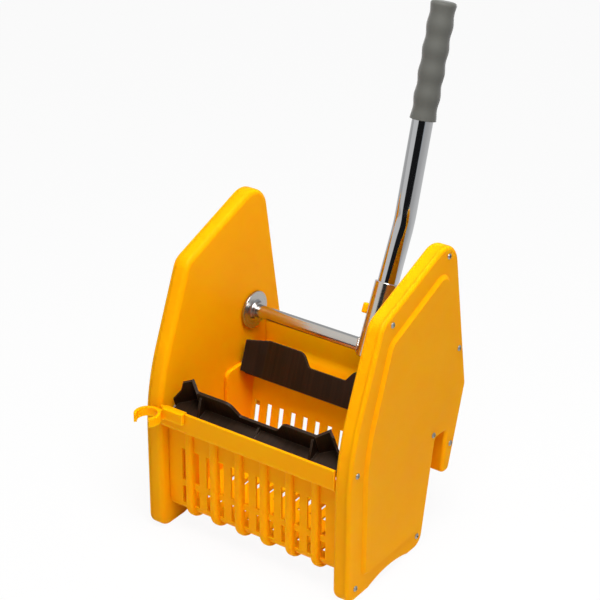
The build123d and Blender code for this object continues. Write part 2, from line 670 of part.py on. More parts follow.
def grip_radius(height):
    """Outer radius of the grip at a height above its open end."""
    return GRIP_RADIUS - GRIP_WAVE * math.cos(2 * math.pi * GRIP_WAVES * height / GRIP_LENGTH + math.pi)


with BuildPart() as lever_grip:
    with BuildSketch(GRIP_PROFILE):
        with BuildLine():
            wave_top = GRIP_LENGTH - GRIP_CORNER
            heights = [wave_top * i / (4 * GRIP_WAVES) for i in range(4 * GRIP_WAVES + 1)]
            waves = Spline(*[(grip_radius(height), height) for height in heights])
            cap = Line((0, GRIP_LENGTH), (grip_radius(wave_top) - GRIP_CORNER, GRIP_LENGTH))
            TangentArc(cap @ 1, waves @ 1, tangent=cap % 1)
            Polyline(cap @ 0, (0, 0), waves @ 0)
        make_face()
    revolve(axis=Axis(GRIP_PLANE.origin, GRIP_PLANE.z_dir))
    with BuildSketch(GRIP_PLANE):
        Circle(LEVER_DIAMETER / 2 + FIT)
    extrude(amount=GRIP_LENGTH - GRIP_CAP, mode=Mode.SUBTRACT)
save(lever_grip, "lever_grip")

# Lock pin: a headed pin through the socket and the lever, pulled out to take the lever off
LOCK_PLANE = Plane(
    origin=place(LEVER_X - SOCKET_DIAMETER / 2 - RUN, along(LEVER_SHAFT, LEVER_LOWER_TILT, LOCK_PIN_HEIGHT)),
    x_dir=SOCKET_PLANE.y_dir,
    z_dir=(1, 0, 0),
)
with BuildPart() as lever_lock_pin:
    with BuildSketch(LOCK_PLANE):
        RectangleRounded(LOCK_HEAD[1], LOCK_HEAD[2], LOCK_HEAD_CORNER)
    extrude(amount=-LOCK_HEAD[0])
    fillet(lever_lock_pin.faces().sort_by(Axis.X)[0].edges(), radius=LOCK_HEAD_ROUND)
    with BuildSketch(LOCK_PLANE):
        Circle(LOCK_PIN_DIAMETER / 2)
    extrude(amount=SOCKET_DIAMETER + 2 * RUN + LOCK_PIN_TIP)
save(lever_lock_pin, "lever_lock_pin")

# Gears: drive gears on the lever shaft, idlers on pins, press gears on the press shafts
GEAR_TRAIN = (
    ("drive_gear", LEVER_SHAFT, GEAR_TEETH, DRIVE_PHASE, SHAFT_DIAMETER),
    ("lever_idler", LEVER_IDLER, SMALL_TEETH, LEVER_IDLER_PHASE, None),
    ("rear_press_gear", REAR_PIVOT, GEAR_TEETH, REAR_PHASE, PRESS_SHAFT_DIAMETER),
    ("rear_idler", REAR_IDLER, GEAR_TEETH, REAR_IDLER_PHASE, None),
    ("front_idler", FRONT_IDLER, GEAR_TEETH, FRONT_IDLER_PHASE, None),
    ("front_press_gear", FRONT_PIVOT, GEAR_TEETH, FRONT_PHASE, PRESS_SHAFT_DIAMETER),
)
for name, centre, teeth, phase, shaft_diameter in GEAR_TRAIN:
    for side, s in SIDES:
        with BuildPart() as gear:
            with BuildSketch(side_plane(s * GEAR_X)):
                with Locations(centre):
                    add(gear_face(teeth, phase))
                    if shaft_diameter:
                        add(flatted_circle(shaft_diameter, FIT), mode=Mode.SUBTRACT)
                    else:
                        Circle(IDLER_PIN_DIAMETER / 2 + FIT, mode=Mode.SUBTRACT)
            extrude(amount=s * GEAR_WIDTH)
        save(gear, f"{side}_{name}")

# Idler pins: headed pins in blind holes of the inner walls, on which the idlers turn
for side, s in SIDES:
    with BuildPart() as idler_pins:
        with BuildSketch(side_plane(s * (INNER_X + IDLER_SKIN))):
            with Locations(*IDLERS):
                Circle(IDLER_PIN_DIAMETER / 2)
        extrude(amount=s * (GEAR_END_X + RUN - INNER_X - IDLER_SKIN))
        with BuildSketch(side_plane(s * (GEAR_END_X + RUN))):
            with Locations(*IDLERS):
                Circle(IDLER_HEAD_DIAMETER / 2)
        extrude(amount=s * BUSH_FLANGE)
    save(idler_pins, f"{side}_idler_pins")

# Press shafts: steel rods through the plates' barrels, round only where they turn in the bushes
JOURNAL_X = PLATE_HALF_WIDTH
for name, pivot in (("front", FRONT_PIVOT), ("rear", REAR_PIVOT)):
    with BuildPart() as press_shaft:
        with BuildSketch(side_plane(-GEAR_END_X)):
            with Locations(pivot):
                add(flatted_circle(PRESS_SHAFT_DIAMETER))
        extrude(amount=2 * GEAR_END_X)
        for _, s in SIDES:
            with BuildSketch(side_plane(s * JOURNAL_X)):
                with Locations(pivot):
                    Circle(PRESS_SHAFT_DIAMETER / 2)
            extrude(amount=s * (GEAR_X - RUN / 2 - JOURNAL_X))
            with BuildSketch(side_plane(s * GEAR_END_X)):
                with Locations(pivot):
                    Circle(SCREW_DIAMETER / 2 + FIT)
            extrude(amount=-s * (SCREW_LENGTH + 1), mode=Mode.SUBTRACT)
    save(press_shaft, f"{name}_press_shaft")

# Gear screws: washer-headed screws that hold the gears on the shaft ends
GEAR_SCREWS = (
    ("lever", LEVER_SHAFT, SHAFT_BORE, SHAFT_DIAMETER + 5),
    ("front_press", FRONT_PIVOT, SCREW_DIAMETER, PRESS_SHAFT_DIAMETER + 5),
    ("rear_press", REAR_PIVOT, SCREW_DIAMETER, PRESS_SHAFT_DIAMETER + 5),
)
for name, centre, bore, washer in GEAR_SCREWS:
    with BuildPart() as gear_screws:
        for _, s in SIDES:
            with BuildSketch(side_plane(s * GEAR_END_X)):
                with Locations(centre):
                    Circle(bore / 2)
            extrude(amount=-s * SCREW_LENGTH)
            with BuildSketch(side_plane(s * GEAR_END_X)):
                with Locations(centre):
                    Circle(washer / 2)
            extrude(amount=s * BUSH_FLANGE)
            with BuildSketch(side_plane(s * (GEAR_END_X + BUSH_FLANGE))):
                with Locations(centre):
                    RegularPolygon(washer / 3, 6)
            extrude(amount=s * SCREW_HEAD[1])
    save(gear_screws, f"{name}_gear_screws")


# Press plates: a notched plate with bent end wings on a barrel, stiffened on the back
def plate_plane(pivot, facing):
    """Plane in a press plate's own directions: across, up along the plate, out towards the mop.

    Facing is -1 for the rear plate, which faces forwards, and 1 for the front plate.
    """
    lean = math.radians(PLATE_TILT)
    return Plane(
        origin=place(0, pivot),
        x_dir=(-facing, 0, 0),
        z_dir=(0, facing * math.cos(lean), math.sin(lean)),
    )


def across_plane(plane, x):
    """Plane square to the plate at x across: local x is up along the plate, local y is out."""
    return Plane(origin=plane.from_local_coords((x, 0, 0)), x_dir=plane.y_dir, z_dir=plane.x_dir)


def wing_plane(plane, s, crease, run, rise):
    """Plane of the back of a wing: local x from the crease to the ridge, local y up along the plate."""
    slope = plane.x_dir * s * run + plane.z_dir * rise
    start = plane.from_local_coords((s * crease, 0, PLATE_BACK))
    return Plane(origin=start, x_dir=slope, z_dir=slope.cross(plane.y_dir))


def cheek_plane(plane, s, ridge, rise, turn):
    """Plane of the outer face of a cheek: local x up along the plate, local y back from the ridge."""
    swing = math.radians(turn)
    back = plane.x_dir * s * math.cos(swing) - plane.z_dir * math.sin(swing)
    start = plane.from_local_coords((s * ridge, 0, PLATE_BACK + rise))
    return Plane(origin=start, x_dir=plane.y_dir, z_dir=plane.y_dir.cross(back))


def ledge_plane(plane):
    """Plane of the stiffening ledge's underside: local x across, local y away from the mop."""
    low = plane.from_local_coords((0, PLATE_LEDGE - PLATE_RIB_THICKNESS / 2, 0))
    return Plane(origin=low, x_dir=plane.x_dir, z_dir=plane.y_dir)


PLATE_BACK = BARREL_RADIUS - PLATE_THICKNESS
LEDGE_EDGE = PLATE_BACK - PLATE_LEDGE_REACH
WING_LAP = PLATE_THICKNESS / 2
PRESS_PLATES = (
    ("front", FRONT_PIVOT, 1, FRONT_PLATE_TOP, FRONT_END),
    ("rear", REAR_PIVOT, -1, REAR_PLATE_TOP, REAR_END),
)
for name, pivot, facing, plate_top, (ridge_inset, run, rise, turn, cheek) in PRESS_PLATES:
    plane = plate_plane(pivot, facing)
    ridge = PLATE_HALF_WIDTH - ridge_inset
    crease = ridge - run
    ledge_ridge = PLATE_BACK + rise - rise / run * WING_LAP / 2  # half-way into the wing
    ledge_end = [(PLATE_HALF_WIDTH, -LEDGE_EDGE), (ridge - WING_LAP, -ledge_ridge)]
    if ridge_inset:
        cheek_fall = ridge_inset * math.tan(math.radians(turn))
        ledge_end.insert(1, (PLATE_HALF_WIDTH, cheek_fall - PLATE_BACK - rise + WING_LAP))
    rib_x = PLATE_HALF_WIDTH - PLATE_RIB_INSET
    side_rib_top = plate_top - PLATE_RIB_DROP
    with BuildPart() as press_plate:
        with BuildSketch(plane.offset(PLATE_BACK)):
            with BuildLine():
                half_outline = FilletPolyline(
                    (0, plate_top - NOTCH_DEPTH),
                    (NOTCH_HALF_WIDTH, plate_top - NOTCH_DEPTH),
                    (NOTCH_HALF_WIDTH + NOTCH_SLOPE, plate_top),
                    (crease, plate_top),
                    (crease, PLATE_BOTTOM),
                    (0, PLATE_BOTTOM),
                    radius=(*NOTCH_CORNERS, 0, 0),
                )
                mirror(half_outline, about=Plane.YZ)
            make_face()
        extrude(amount=PLATE_THICKNESS)
        with BuildSketch(across_plane(plane, -PLATE_HALF_WIDTH)):
            Circle(BARREL_RADIUS)
        extrude(amount=2 * PLATE_HALF_WIDTH)
        with BuildSketch(ledge_plane(plane)):
            with BuildLine():
                half_ledge = Polyline(
                    (0, -LEDGE_EDGE),
                    *ledge_end,
                    (crease, -PLATE_BACK - WING_LAP),
                    (0, -PLATE_BACK - WING_LAP),
                )
                mirror(half_ledge, about=Plane.YZ)
            make_face()
        extrude(amount=PLATE_RIB_THICKNESS)
        for x, rib_top in ((-rib_x, side_rib_top), (0, side_rib_top - NOTCH_DEPTH), (rib_x, side_rib_top)):
            with BuildSketch(across_plane(plane, x - PLATE_RIB_THICKNESS / 2)):
                with BuildLine():
                    Polyline(
                        (0, PLATE_BACK + WING_LAP),
                        (rib_top, PLATE_BACK + WING_LAP),
                        (rib_top, PLATE_BACK - WING_LAP),
                        (PLATE_LEDGE, LEDGE_EDGE),
                        (0, -BARREL_RADIUS),
                        close=True,
                    )
                make_face()
            extrude(amount=PLATE_RIB_THICKNESS)
        for s in (-1, 1):
            with BuildSketch(wing_plane(plane, s, crease, run, rise)):
                with BuildLine():
                    Polyline(
                        (-WING_LAP, PLATE_BOTTOM),
                        (math.hypot(run, rise), cheek[0][0]),
                        (math.hypot(run, rise), cheek[1][0]),
                        (-WING_LAP, plate_top),
                        close=True,
                    )
                make_face()
            extrude(amount=s * PLATE_THICKNESS)
            with BuildSketch(cheek_plane(plane, s, ridge, rise, turn)):
                with BuildLine():
                    Polyline(*cheek, close=True)
                make_face()
            extrude(amount=s * CHEEK_THICKNESS)
        with BuildSketch(across_plane(plane, -INNER_X)):
            Circle(PRESS_SHAFT_DIAMETER / 2 + FIT)
        extrude(amount=2 * INNER_X, mode=Mode.SUBTRACT)
    save(press_plate, f"{name}_press_plate")

# Handle clip: a saddle over the front rim with a C-shaped spring clip for a mop handle
CLIP_BACK_Y = FRONT_Y - RUN
CLIP_X = -INNER_X - CLIP_OVERHANG
CLIP_CENTRE = (CLIP_X, CLIP_BACK_Y - CLIP_WALL - CLIP_BORE / 2)
SADDLE_START_X = SADDLE_INSET - INNER_X


def clip_point(radius, angle):
    """Point at a radius and an angle from the clip's centre, seen from above."""
    return (CLIP_CENTRE[0] + radius * math.cos(angle), CLIP_CENTRE[1] + radius * math.sin(angle))


with BuildPart() as handle_clip:
    with BuildSketch(Plane.XY.offset(RIM_TOP - CLIP_DROP - CLIP_HEIGHT)):
        with Locations(CLIP_CENTRE):
            Circle(CLIP_BORE / 2 + CLIP_WALL)
        with Locations(((CLIP_X + SADDLE_START_X + SADDLE_WALL) / 2, CLIP_BACK_Y - CLIP_WALL / 2)):
            Rectangle(SADDLE_START_X + SADDLE_WALL - CLIP_X, CLIP_WALL)
        with Locations(CLIP_CENTRE):
            Circle(CLIP_BORE / 2, mode=Mode.SUBTRACT)
        with BuildLine():
            mouth = [math.radians(CLIP_MOUTH_SIDE + turn * CLIP_MOUTH / 2) for turn in (-1, 1)]
            Polyline(CLIP_CENTRE, *[clip_point(2 * CLIP_BORE, angle) for angle in mouth], close=True)
        make_face(mode=Mode.SUBTRACT)
    extrude(amount=CLIP_HEIGHT)
    with BuildSketch(side_plane(SADDLE_START_X)):
        with BuildLine():
            FilletPolyline(
                (-CLIP_WALL - RUN, RIM_TOP - SADDLE_LEG),
                (-CLIP_WALL - RUN, RIM_TOP + SADDLE_WALL),
                (RIM_DEPTH + BASKET_WALL + SADDLE_WALL, RIM_TOP + SADDLE_WALL),
                (RIM_DEPTH + BASKET_WALL + SADDLE_WALL, RIM_TOP - SADDLE_LEG / 2),
                (RIM_DEPTH + BASKET_WALL, RIM_TOP - SADDLE_LEG / 2),
                (RIM_DEPTH + BASKET_WALL, RIM_TOP),
                (RIM_DEPTH, RIM_TOP),
                (RIM_DEPTH, RIM_TOP - SADDLE_LEG),
                radius=(0, SADDLE_ROUND, SADDLE_ROUND, 0, 0, 0, 0, 0),
                close=True,
            )
        make_face()
    extrude(amount=SADDLE_LENGTH)
save(handle_clip, "handle_clip")
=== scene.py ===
"""Down-press mop wringer, dressed and lit as in its photograph. Metres, +Z up, +Y to the back."""

import math

import bpy
from mathutils import Matrix, Vector


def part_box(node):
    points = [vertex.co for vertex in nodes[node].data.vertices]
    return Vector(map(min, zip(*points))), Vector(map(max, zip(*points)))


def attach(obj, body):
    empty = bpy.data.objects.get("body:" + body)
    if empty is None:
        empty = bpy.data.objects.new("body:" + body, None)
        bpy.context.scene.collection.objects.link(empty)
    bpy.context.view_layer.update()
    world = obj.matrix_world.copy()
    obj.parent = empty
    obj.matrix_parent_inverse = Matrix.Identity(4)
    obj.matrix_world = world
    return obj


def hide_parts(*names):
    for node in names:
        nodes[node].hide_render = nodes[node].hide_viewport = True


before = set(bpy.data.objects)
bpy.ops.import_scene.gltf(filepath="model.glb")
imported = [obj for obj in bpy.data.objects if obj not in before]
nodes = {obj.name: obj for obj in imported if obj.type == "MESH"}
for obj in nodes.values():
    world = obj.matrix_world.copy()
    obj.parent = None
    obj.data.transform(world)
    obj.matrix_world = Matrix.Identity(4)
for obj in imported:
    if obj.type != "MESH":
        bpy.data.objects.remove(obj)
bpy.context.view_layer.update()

# Side frames: the inner halves of the two housings, injection-moulded in yellow polypropylene.
# The spark-eroded mould leaves a satin skin, the pigment drifts a little, and light goes some way
# into the plastic. Every edge is slightly soft.
PIGMENT_CLOUDS = 9  # in a metre, as for all the clouds below
GLOSS_CLOUDS = 40
GLOSS_SPREAD = 0.06
CLOUD_LOW = 0.3  # most of a cloud's values lie between these two
CLOUD_HIGH = 0.7
GRAIN_CLOUDS = 1500
GRAIN_HEIGHT = 0.0002
EDGE_SAMPLES = 6


def colour(red, green, blue):
    """Linear colour from screen values of 0 to 255."""
    def linear(value):
        value /= 255
        return value / 12.92 if value <= 0.04045 else ((value + 0.055) / 1.055) ** 2.4
    return (linear(red), linear(green), linear(blue), 1)


def add_node(tree, kind, inputs, **settings):
    """Node of a kind in a tree, with its settings made and its inputs set or wired to sockets."""
    node = tree.nodes.new(kind)
    for name, value in settings.items():
        setattr(node, name, value)
    for key, value in inputs.items():
        if isinstance(value, bpy.types.NodeSocket):
            tree.links.new(value, node.inputs[key])
        else:
            node.inputs[key].default_value = value
    return node


def new_material(name):
    """Material with its node tree, its main shader and the coordinates on its piece."""
    material = bpy.data.materials.new(name)
    material.use_nodes = True
    tree = material.node_tree
    place = add_node(tree, "ShaderNodeTexCoord", {}).outputs["Object"]
    return material, tree, tree.nodes["Principled BSDF"], place


def noise(tree, place, scale, detail):
    """Cloudy values from 0 to 1 over a piece."""
    return add_node(tree, "ShaderNodeTexNoise", {
        "Vector": place, "Scale": scale, "Detail": detail,
    }).outputs["Fac"]


def spread(tree, value, least, most, low=0.0, high=1.0):
    """Value that goes from low to high while another goes from least to most."""
    return add_node(tree, "ShaderNodeMapRange", {
        "Value": value, "From Min": least, "From Max": most, "To Min": low, "To Max": high,
    }).outputs["Result"]


def mixed(tree, share, first, second):
    """Colour between two, by a share."""
    return add_node(tree, "ShaderNodeMix", {
        "Factor": share, "A": first, "B": second,
    }, data_type="RGBA").outputs["Result"]


def moulded_skin(name, light, deep, roughness, specular, grain, edge):
    """Moulded plastic: pigment drifting between two tones, uneven gloss, grain, soft edges."""
    material, tree, shader, place = new_material(name)
    tone = mixed(tree, noise(tree, place, PIGMENT_CLOUDS, detail=3), deep, light)
    shine = noise(tree, place, GLOSS_CLOUDS, detail=6)
    smoothest, roughest = roughness - GLOSS_SPREAD, roughness + GLOSS_SPREAD
    gloss = spread(tree, shine, CLOUD_LOW, CLOUD_HIGH, smoothest, roughest)
    rounded = add_node(tree, "ShaderNodeBevel", {"Radius": edge}, samples=EDGE_SAMPLES)
    grains = noise(tree, place, GRAIN_CLOUDS, detail=2)
    skin = add_node(tree, "ShaderNodeBump", {
        "Strength": grain, "Distance": GRAIN_HEIGHT, "Height": grains,
        "Normal": rounded.outputs["Normal"],
    })
    tree.links.new(tone, shader.inputs["Base Color"])
    tree.links.new(gloss, shader.inputs["Roughness"])
    tree.links.new(skin.outputs["Normal"], shader.inputs["Normal"])
    shader.inputs["Specular IOR Level"].default_value = specular
    return material


def dress(material, *names):
    """Give CAD nodes one material."""
    for name in names:
        nodes[name].data.materials.clear()
        nodes[name].data.materials.append(material)


YELLOW_LIGHT = colour(255, 169, 1)
YELLOW_DEEP = colour(252, 155, 1)
SCATTER_SHARE = 0.6
SCATTER_REACH = (0.4, 1, 0.5)  # of red, green and blue, as shares of the depth
SCATTER_DEPTH = 0.02
yellow = moulded_skin(
    "yellow_polypropylene", YELLOW_LIGHT, YELLOW_DEEP,
    roughness=0.5, specular=0.04, grain=0.2, edge=0.0005,
)
yellow_shader = yellow.node_tree.nodes["Principled BSDF"]
yellow_shader.inputs["Subsurface Weight"].default_value = SCATTER_SHARE
yellow_shader.inputs["Subsurface Radius"].default_value = SCATTER_REACH
yellow_shader.inputs["Subsurface Scale"].default_value = SCATTER_DEPTH
dress(yellow, "left_side_frame", "right_side_frame")

# Basket: one more moulding of the yellow plastic, with drain slots and ribs down its front wall.
# Zinc-plated screws from inside the housings hold its side returns.
POLISH_CLOUDS = 45
POLISH_SPREAD = 0.5  # as a share of the polish
SCUFF_CLOUDS = 900
SCUFF_HEIGHT = 0.0001
ZINC_TINT = (0.42, 0.42, 0.41, 1)
dress(yellow, "basket")


def plating(name, tint, polish, scuffs):
    """Plated steel: a polish that varies over the surface, and fine scuffs from handling."""
    material, tree, shader, place = new_material(name)
    shine = noise(tree, place, POLISH_CLOUDS, detail=4)
    smoothest, roughest = polish * (1 - POLISH_SPREAD), polish * (1 + POLISH_SPREAD)
    gloss = spread(tree, shine, 0, 1, smoothest, roughest)
    marks = noise(tree, place, SCUFF_CLOUDS, detail=3)
    scuffed = add_node(tree, "ShaderNodeBump", {
        "Strength": scuffs, "Distance": SCUFF_HEIGHT, "Height": marks,
    })
    tree.links.new(gloss, shader.inputs["Roughness"])
    tree.links.new(scuffed.outputs["Normal"], shader.inputs["Normal"])
    shader.inputs["Metallic"].default_value = 1
    shader.inputs["Base Color"].default_value = tint
    return material


zinc = plating("zinc_plate", ZINC_TINT, polish=0.3, scuffs=0.1)
dress(zinc, "basket_screws")

# Bushes: flanged bearings, moulded in natural acetal.
# They are pressed into the housings' inner walls, and the shafts run in them.
ACETAL_LIGHT = colour(226, 223, 212)
ACETAL_DEEP = colour(214, 210, 198)
acetal = moulded_skin(
    "natural_acetal", ACETAL_LIGHT, ACETAL_DEEP,
    roughness=0.35, specular=0.4, grain=0.1, edge=0.0004,
)
dress(acetal, "shaft_bushes", "press_bushes")

# Lever shaft and its discs: a ground and chromed tube across the housings.
# The turned steel disc at each end keeps the fine circular marks of the lathe under duller plating.
GROUND_CHROME_TINT = (0.6, 0.57, 0.53, 1)
DISC_TINT = (0.44, 0.43, 0.42, 1)
DISC_SMOOTHEST = 0.22
DISC_ROUGHEST = 0.36
LATHE_MARKS = 1500  # in a metre of radius
LATHE_STRENGTH = 0.35
LATHE_HEIGHT = 0.0001
ground_chrome = plating("ground_chrome", GROUND_CHROME_TINT, polish=0.19, scuffs=0.04)
dress(ground_chrome, "lever_shaft")


def vector_calc(tree, operation, *inputs):
    """Node that works on one or two vectors."""
    return add_node(tree, "ShaderNodeVectorMath", dict(enumerate(inputs)), operation=operation)


def turned_plate(name, axis_place):
    """Dull plating with lathe marks round an axis along X."""
    material, tree, shader, place = new_material(name)
    centred = vector_calc(tree, "SUBTRACT", place, axis_place)
    across = vector_calc(tree, "MULTIPLY", centred.outputs[0], (0, 1, 1))
    radius = vector_calc(tree, "LENGTH", across.outputs[0])
    marks = add_node(tree, "ShaderNodeTexNoise", {
        "W": radius.outputs["Value"], "Scale": LATHE_MARKS, "Detail": 3,
    }, noise_dimensions="1D").outputs["Fac"]
    gloss = spread(tree, marks, 0, 1, DISC_SMOOTHEST, DISC_ROUGHEST)
    lathe = add_node(tree, "ShaderNodeBump", {
        "Strength": LATHE_STRENGTH, "Distance": LATHE_HEIGHT, "Height": marks,
    })
    tree.links.new(gloss, shader.inputs["Roughness"])
    tree.links.new(lathe.outputs["Normal"], shader.inputs["Normal"])
    shader.inputs["Metallic"].default_value = 1
    shader.inputs["Base Color"].default_value = DISC_TINT
    return material


shaft_middle = sum((Vector(corner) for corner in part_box("lever_shaft")), Vector()) / 2
turned_steel = turned_plate("turned_steel", shaft_middle)
dress(turned_steel, "left_shaft_disc", "right_shaft_disc")

# Lever socket: a chromed tube pushed on to the shaft and welded all round on both sides.
# The weld bead shows the ripples of the torch, and is plated over with the socket.
SOCKET_TILT = math.radians(25.5)
BEAD_SIZES = {
    "Shaft Radius": 0.0095, "Socket Radius": 0.0175, "Bead Radius": 0.0021, "Ripples": 26,
    "Ripple Height": 0.12, "Tilt": SOCKET_TILT,
}  # the ripples' height is a share of the bead's radius
RING_POINTS = 160
BEAD_CORNERS = 12
dress(ground_chrome, "lever_socket")
lever_x = sum(corner[0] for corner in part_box("lever_tube")) / 2
lever_foot = Vector((lever_x, shaft_middle.y, shaft_middle.z))


def new_tree(name, sizes, material):
    """Tree of geometry nodes with named inputs: the tree, its input sockets and a way to end it."""
    tree = bpy.data.node_groups.new(name, "GeometryNodeTree")
    tree.interface.new_socket("Geometry", in_out="INPUT", socket_type="NodeSocketGeometry")
    for size, value in sizes.items():
        kind = "NodeSocketInt" if isinstance(value, int) else "NodeSocketFloat"
        tree.interface.new_socket(size, in_out="INPUT", socket_type=kind)
    tree.interface.new_socket("Geometry", in_out="OUTPUT", socket_type="NodeSocketGeometry")

    def end(shape):
        """Finish the tree: real geometry, its material and the output."""
        real = add_node(tree, "GeometryNodeRealizeInstances", {"Geometry": shape})
        finished = add_node(tree, "GeometryNodeSetMaterial", {
            "Geometry": real.outputs["Geometry"], "Material": material,
        })
        add_node(tree, "NodeGroupOutput", {"Geometry": finished.outputs["Geometry"]})

    return tree, add_node(tree, "NodeGroupInput", {}).outputs, end


def calc(tree, operation, first, second=0.0):
    """Result of one sum on two numbers or sockets."""
    return add_node(tree, "ShaderNodeMath", {0: first, 1: second}, operation=operation).outputs[0]


def vector(tree, **parts):
    """Vector of the parts that are named, and 0 for the others."""
    return add_node(tree, "ShaderNodeCombineXYZ", parts).outputs[0]


def round_section(tree, corners):
    """Circle of radius 1, the section of a round sweep."""
    return add_node(tree, "GeometryNodeCurvePrimitiveCircle", {
        "Resolution": corners, "Radius": 1.0,
    }).outputs["Curve"]


def sweep(tree, curve, section, radius, capped):
    """Round sweep along a curve, at a radius that may vary."""
    return add_node(tree, "GeometryNodeCurveToMesh", {
        "Curve": curve, "Profile Curve": section, "Scale": radius, "Fill Caps": capped,
    }).outputs["Mesh"]


def smooth(tree, shape):
    """Shape with smooth faces."""
    return add_node(tree, "GeometryNodeSetShadeSmooth", {"Geometry": shape}).outputs["Geometry"]


def moved(tree, shape, **changes):
    """Shape after a change of Translation, Rotation or Scale."""
    return add_node(tree, "GeometryNodeTransform", {
        "Geometry": shape, **changes,
    }).outputs["Geometry"]


def grow(name, tree, sizes, points, edges=()):
    """Plain mesh that a tree makes from its named sizes, on points and the edges between them."""
    start = bpy.data.meshes.new(name)
    start.from_pydata(points, edges, [])
    piece = bpy.data.objects.new(name, start)
    bpy.context.scene.collection.objects.link(piece)
    maker = piece.modifiers.new(name, "NODES")
    maker.node_group = tree
    for socket in tree.interface.items_tree:
        if socket.name in sizes:
            maker[socket.identifier] = sizes[socket.name]
    evaluated = piece.evaluated_get(bpy.context.evaluated_depsgraph_get())
    made = bpy.data.meshes.new_from_object(evaluated)
    piece.modifiers.remove(maker)
    while made.materials[0] is None:
        made.materials.pop(index=0)
    piece.data = made
    return piece


tree, given, end = new_tree("weld_bead", BEAD_SIZES, ground_chrome)
ring = add_node(tree, "GeometryNodeCurvePrimitiveCircle", {
    "Resolution": RING_POINTS, "Radius": given["Shaft Radius"],
}).outputs["Curve"]
spot = add_node(tree, "ShaderNodeSeparateXYZ", {
    0: add_node(tree, "GeometryNodeInputPosition", {}).outputs[0],
}).outputs
socket_square = calc(tree, "POWER", given["Socket Radius"], 2)
reach = calc(tree, "SQRT", calc(tree, "SUBTRACT", socket_square, calc(tree, "POWER", spot["X"], 2)))
along = add_node(tree, "GeometryNodeSplineParameter", {}).outputs["Factor"]
turns = calc(tree, "MULTIPLY", along, given["Ripples"])
wave = calc(tree, "SINE", calc(tree, "MULTIPLY", turns, math.tau))
ripple = calc(tree, "MULTIPLY", wave, given["Ripple Height"])
swell = calc(tree, "MULTIPLY", given["Bead Radius"], calc(tree, "ADD", ripple, 1))
section = round_section(tree, BEAD_CORNERS)
beads = add_node(tree, "GeometryNodeJoinGeometry", {})
for side in (-1, 1):
    line = vector(tree, X=calc(tree, "MULTIPLY", reach, side), Y=spot["X"], Z=spot["Y"])
    laid = add_node(tree, "GeometryNodeSetPosition", {"Geometry": ring, "Position": line})
    bead = sweep(tree, laid.outputs["Geometry"], section, swell, capped=False)
    tree.links.new(bead, beads.inputs["Geometry"])
lean = vector(tree, X=calc(tree, "MULTIPLY", given["Tilt"], -1))
end(smooth(tree, moved(tree, beads.outputs["Geometry"], Rotation=lean, Translation=lever_foot)))
weld = grow("weld_bead", tree, BEAD_SIZES, [])
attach(weld, "lever")

# Press plates and shafts: two notched mouldings of dark brown nylon on zinc-plated rods.
# The mould was filed upwards, so faint lines run up the plates. Their edges are painted a lighter
# brown: a painted highlight, standing in for the gloss that the rounded edges catch.
PLATE_LIGHT = colour(48, 30, 15)
PLATE_DEEP = colour(13, 7, 3)
PLATE_EDGE_HIGHLIGHT = colour(96, 80, 66)
FILED_LINES = (260, 8, 8)  # in a metre of X, Y and Z
FILED_STRENGTH = 0.8
FILED_HEIGHT = 0.0006
EDGE_HIGHLIGHT_STARTS = 0.98  # cosine between the rounded edge's normal and the face's own
EDGE_HIGHLIGHT_ENDS = 0.75
EDGE_HIGHLIGHT_SHARE = 0.8
brown = moulded_skin(
    "dark_brown_nylon", PLATE_LIGHT, PLATE_DEEP,
    roughness=0.45, specular=0.2, grain=0.3, edge=0.001,
)
tree = brown.node_tree
plate_shader = tree.nodes["Principled BSDF"]
stretched = add_node(tree, "ShaderNodeMapping", {
    "Vector": tree.nodes["Texture Coordinate"].outputs["Object"], "Scale": FILED_LINES,
})
filing = noise(tree, stretched.outputs["Vector"], scale=1, detail=4)
lines = add_node(tree, "ShaderNodeBump", {
    "Strength": FILED_STRENGTH, "Distance": FILED_HEIGHT, "Height": filing,
    "Normal": tree.nodes["Bump"].outputs["Normal"],
})
tree.links.new(lines.outputs["Normal"], plate_shader.inputs["Normal"])
tree.links.new(filing, tree.nodes["Mix"].inputs["Factor"])
# Painted highlight: the plates' edges are painted a lighter brown where the rounded normal turns
# from the face's own.
flat = add_node(tree, "ShaderNodeNewGeometry", {}).outputs["Normal"]
rounded = tree.nodes["Bevel"].outputs["Normal"]
bend = vector_calc(tree, "DOT_PRODUCT", rounded, flat).outputs["Value"]
edge_highlight = spread(tree, bend, EDGE_HIGHLIGHT_STARTS, EDGE_HIGHLIGHT_ENDS, 0, EDGE_HIGHLIGHT_SHARE)
highlighted_tone = mixed(tree, edge_highlight, tree.nodes["Mix"].outputs["Result"], PLATE_EDGE_HIGHLIGHT)
tree.links.new(highlighted_tone, plate_shader.inputs["Base Color"])
dress(brown, "front_press_plate", "rear_press_plate")
dress(zinc, "front_press_shaft", "rear_press_shaft")

# Gear train: moulded acetal spur gears in each housing.
# They sit on the shafts' flats under zinc-plated screws, and the idlers turn on headed steel pins.
GEARS = (
    "drive_gear", "lever_idler", "rear_press_gear", "rear_idler", "front_idler", "front_press_gear",
)
for side in ("left", "right"):
    dress(acetal, *[f"{side}_{gear}" for gear in GEARS])
    dress(zinc, f"{side}_idler_pins")
dress(zinc, "lever_gear_screws", "front_press_gear_screws", "rear_press_gear_screws")

# Side covers: the outer halves of the housings, moulded in the same yellow plastic.
# Each has a raised middle panel and a flat margin, which the screws hold to the side frame.
dress(yellow, "left_side_cover", "right_side_cover")

